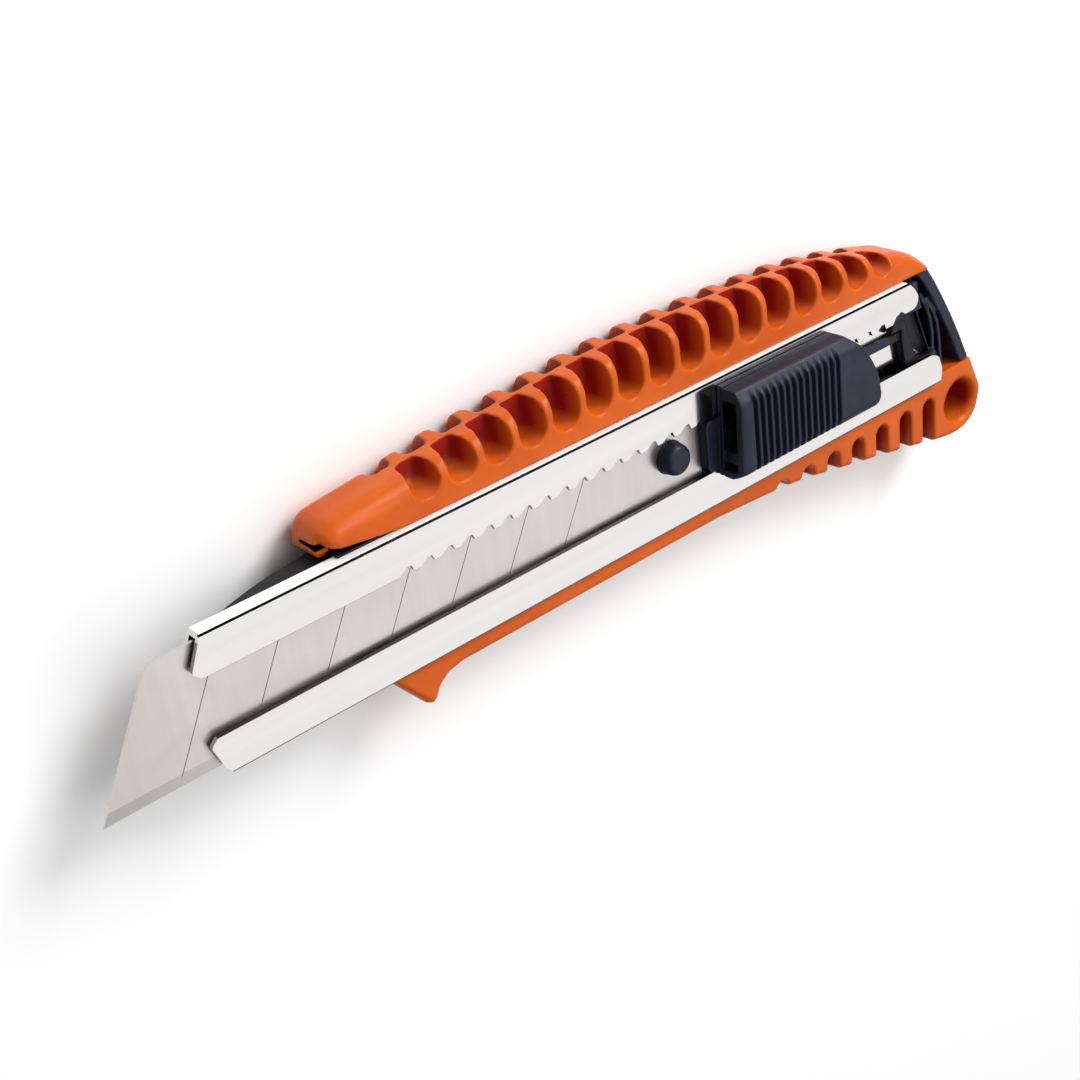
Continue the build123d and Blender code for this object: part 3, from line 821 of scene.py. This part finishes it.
def carrierField(x, y, z):
    inner = half - sheet
    inset = carrier["blockInset"]
    tongueSide = inner - carrier["tongueInset"]
    tongueRear = (blockFront + carrier["tongueOverlap"], tongueSide, tongueTop)
    tongue = boxField(x, y, z, (tongueFront, -tongueSide, tongueUnder), tongueRear, carrier["tongueEdge"])
    plan = planField(x, y, (blockFront, -inner + inset), (blockRear, inner - inset), carrier["blockCorner"])
    block = thickOutline(plan, z, tongueUnder, blockTop, carrier["blockEdge"])
    plan = planField(x, y, (blockFront, lipDown + inset), (blockRear, lipUp - inset), carrier["neckCorner"])
    neckFoot, neckTop = blockTop - carrier["neckDown"], plateUnder + carrier["neckUp"]
    neck = thickOutline(plan, z, neckFoot, neckTop, carrier["neckEdge"])
    plan = outlineField(sliderOutline(carrier["plateGrow"]), x, y)
    plate = thickOutline(plan, z, plateUnder, plateTop, carrier["blockEdge"])
    front, low = buttonLow[:2]
    guideFront = (front + carrier["guideFront"], low + carrier["guideSide"], plateUnder)
    guideRear = (buttonHigh[0] - carrier["guideRear"], lipDown + carrier["guideWidth"], carrierHigh[2])
    guide = boxField(x, y, z, guideFront, guideRear, carrier["guideEdge"])
    body = np.minimum(np.minimum(tongue, pegField(x, y, z)), np.minimum(block, plate))
    body = np.minimum(body, np.minimum(neck, guide))
    lockPlace, lockBay = carrier["lockPlace"], carrier["lockBay"]
    inwards, outwards = carrier["lockBayAcross"]
    bay = boxField(x, y, z, (lockPlace - lockBay, lipUp - inwards, tongueTop),
                   (lockPlace + lockBay, lipUp + outwards, carrier["lockBayTop"]), carrier["lockBayEdge"])
    grooveFront = (blockRear - carrier["grooveLength"], barMiddle - carrier["grooveHalf"], tongueUnder - 1)
    grooveRear = (blockRear + 1, barMiddle + carrier["grooveHalf"], tongueUnder + carrier["grooveDeep"])
    groove = boxField(x, y, z, grooveFront, grooveRear)
    return roundCut(body, np.minimum(bay, groove), carrier["soften"])


mould("bladeCarrier", carrierLow, carrierHigh, carrier["step"], carrierField, blackPlastic, "slider",
      "blade_carrier")

cap = dict(
    step=0.18,
    drop=0.3,  # below the grip's face
    edge=1.3,
    rim=2.6,  # width of the rim along the grip's outline
    dish=4.2,
    dishSoft=0.5,
    dishStart=0.4,  # wall left standing behind the sheath's tail
    gap=0.05,
    coreGap=0.15,
    webGap=0.1,
    edgeSoft=0.2,
    roomSoft=0.15,
    ridgeRadius=0.36,
    ridgeDrop=0.5,  # how far below the face the ridges stop
    ridgeSoft=0.35,
    ridgeInset=0.1,
    plugEdge=0.2,
    plugGap=0.2,  # to the sheath's sides
    lipGap=0.1,
    forkSide=1.2,  # half the gap between the fork's prongs
    forkDepth=2.8,
    lean=(12.0, 4.5),  # the plug's open end runs square to this
    leanAt=6.0,
    openFrom=1.2,
    barHalf=0.8,  # half the width of the tongue
    barTop=0.9,
    barLength=4.0,
    bayBeyond=30.0,
    shade=dict(colour=(0.003, 0.003, 0.005), below=0.9, dishEnd=2.6, dishSide=1.5, plugStart=0.5,
               plugEnd=1.2),
)
capFace = gripTop - cap["drop"]
webTop = tongueUnder - cap["webGap"]


# what the sheath's tail needs, behind the core
def tailRoom(x, y):
    return outlineField(np.array([
        (coreTail - 1, half + 1), (upperTail + 2.6, half + 1), (upperTail + 2.6, half - 3.1),
        (tailEnd + 0.3, -half + 2.6), (tailEnd + 0.3, -half - 1), (coreTail - 1, -half - 1),
    ]), x, y)


# two curved ridges stand in the dish
def ridgesField(x, y, z):
    bends = (
        ((tailEnd - 3.0, 5.9), (tailEnd - 1.6, 3.4), (tailEnd - 0.6, 1.0), (tailEnd, -2.2),
         (tailEnd, -9.0)),
        ((tailEnd - 1.5, 4.8), (tailEnd + 0.1, 2.3), (tailEnd + 1.2, -0.2), (tailEnd + 1.8, -4.0),
         (tailEnd + 2.0, -9.0)),
    )
    for bend in bends:
        ridge = farAway
        for start, end in zip(bend, bend[1:]):
            ridge = np.minimum(ridge, roundBar(x, y, start, end, cap["ridgeRadius"]))
        ridge = np.maximum(ridge, z - capFace + cap["ridgeDrop"])
        yield np.maximum(ridge, capFace - cap["dish"] - 1 - z)


# the forked plug lies on the sheath's web, under the lips, and its tongue reaches under the slider
def plugField(x, y, z, behind):
    side = half - sheet - cap["plugGap"]
    prongUp, prongDown = barMiddle + cap["forkSide"], barMiddle - cap["forkSide"]
    forkEnd = coreTail + cap["forkDepth"]
    plan = outlineField(np.array([
        (coreTail + 2.2, side), (coreTail + 0.2, prongUp), (forkEnd, prongUp), (forkEnd, prongDown),
        (coreTail + 4.6, -side), (tailEnd + 1.5, -side), (upperTail + 4.5, side),
    ]), x, y)
    leanX, leanY = cap["lean"]
    fromTail = x - upperTail + cap["openFrom"]
    beyond = (fromTail * leanX + (y - cap["leanAt"]) * leanY) / np.hypot(leanX, leanY)
    opened = np.maximum(-beyond, np.abs(y) - lipUp + cap["lipGap"])
    plan = np.maximum(plan, np.maximum(behind, -opened))
    plug = thickOutline(plan, z, webTop + cap["webGap"], capHigh[2], cap["plugEdge"])
    barFront = (capLow[0], barMiddle - cap["barHalf"], webTop + cap["webGap"])
    barRear = (coreTail + cap["barLength"], barMiddle + cap["barHalf"], webTop + cap["barTop"])
    bar = boxField(x, y, z, barFront, barRear, cap["plugEdge"])
    return np.minimum(plug, bar)


def capField(x, y, z):
    flat = outlineField(gripOutline(), x, y)
    body = thickOutline(flat, z, 0, capFace, cap["edge"])
    bay = planField(x, y, (coreTail + cap["coreGap"], capLow[1]), (tailEnd + cap["bayBeyond"], capHigh[1]))
    body = roundBoth(body, np.maximum(bay, floorTop + cap["gap"] - z), cap["edgeSoft"])
    room = tailRoom(x, y)
    body = roundCut(body, np.maximum(room, webTop - sheet - cap["gap"] - z), cap["roomSoft"])
    behind = room - cap["dishStart"]
    dish = np.maximum(np.maximum(flat + cap["rim"], -behind), capFace - cap["dish"] - z)
    body = roundCut(body, dish, cap["dishSoft"])
    body = np.maximum(body, -np.maximum(behind, webTop - z))
    inDish = np.maximum(bay + cap["ridgeInset"], -behind)
    for ridge in ridgesField(x, y, z):
        body = either(body, np.maximum(ridge, inDish), cap["ridgeSoft"])
    return np.minimum(body, plugField(x, y, z, behind))


# the dish and the plug lie in the dark between the sheath and the rim
def shadeDish(mat):
    shade = cap["shade"]
    level = capFace - shade["below"]
    shadeBox(mat, (capLow[0], -half, 0), (tailEnd + shade["dishEnd"], half - shade["dishSide"], level),
             shade["colour"])
    shadeBox(mat, (coreTail + shade["plugStart"], -half, level),
             (tailEnd - shade["plugEnd"], lipUp - cap["lipGap"], capHigh[2] + 1), shade["colour"])


shadeDish(shadedCapPlastic)
mould("endCap", capLow, capHigh, cap["step"], capField, shadedCapPlastic, "cap", "end_cap")

view = dict(
    place=(-0.129826, 0.106548, 0.167065),
    looks=(0.51337, -0.48677, -0.70675),
    pictureUp=(0.39969, 0.86441, -0.30503),
    lens=53.72,
    sensor=36,
    nearest=0.01,
)
cameraData = bpy.data.cameras.new("camera")
cameraData.lens = view["lens"]
cameraData.sensor_width = view["sensor"]
cameraData.clip_start = view["nearest"]
camera = bpy.data.objects.new("camera", cameraData)
bpy.context.scene.collection.objects.link(camera)
back = -Vector(view["looks"]).normalized()
right = Vector(view["pictureUp"]).cross(back).normalized()
upward = back.cross(right)
turned = Matrix((right, upward, back)).transposed().to_4x4()
camera.matrix_world = Matrix.Translation(view["place"]) @ turned
bpy.context.scene.camera = camera

studio = dict(
    floorSize=6,
    floorColour=(0.95, 0.95, 0.95),
    floorRoughness=0.8,
    lights={
        "key": dict(place=(0.46, 0.66, 0.50), size=0.42, power=8),
        "softCard": dict(place=(0.61, -0.58, 0.85), size=1.1, power=2.9),
        "overhead": dict(place=(0.15, 0.35, 1.0), size=0.8, power=4),
    },
    sky=dict(low=0.02, high=0.42, fromLow=0.22, fromHigh=0.60),  # bright overhead, dark near the horizon
)
bpy.ops.mesh.primitive_plane_add(size=studio["floorSize"], location=(0, 0, 0))
floor = bpy.context.object
floor.name = "floor"
paleFloor = newMaterial("paleFloor", studio["floorColour"], studio["floorRoughness"])[0]
floor.data.materials.append(paleFloor)


# every light is aimed at the middle of the knife
def areaLight(name, place, size, power):
    data = bpy.data.lights.new(name, "AREA")
    data.size = size
    data.energy = power
    lamp = bpy.data.objects.new(name, data)
    bpy.context.scene.collection.objects.link(lamp)
    lamp.location = place
    lamp.rotation_euler = (-Vector(place)).to_track_quat("-Z", "Y").to_euler()


for name, light in studio["lights"].items():
    areaLight(name, **light)

world = bpy.data.worlds.new("world")
world.use_nodes = True
worldTree = world.node_tree
direction = worldTree.nodes.new("ShaderNodeTexCoord")
heights = worldTree.nodes.new("ShaderNodeSeparateXYZ")
worldTree.links.new(direction.outputs["Generated"], heights.inputs["Vector"])
skyLevel = rampOn(worldTree, heights.outputs["Z"], **studio["sky"])
background = worldTree.nodes["Background"]
background.inputs["Color"].default_value = (1, 1, 1, 1)
worldTree.links.new(skyLevel, background.inputs["Strength"])
bpy.context.scene.world = world
bpy.context.scene.view_settings.view_transform = "Standard"
print("camera, floor and lights placed")
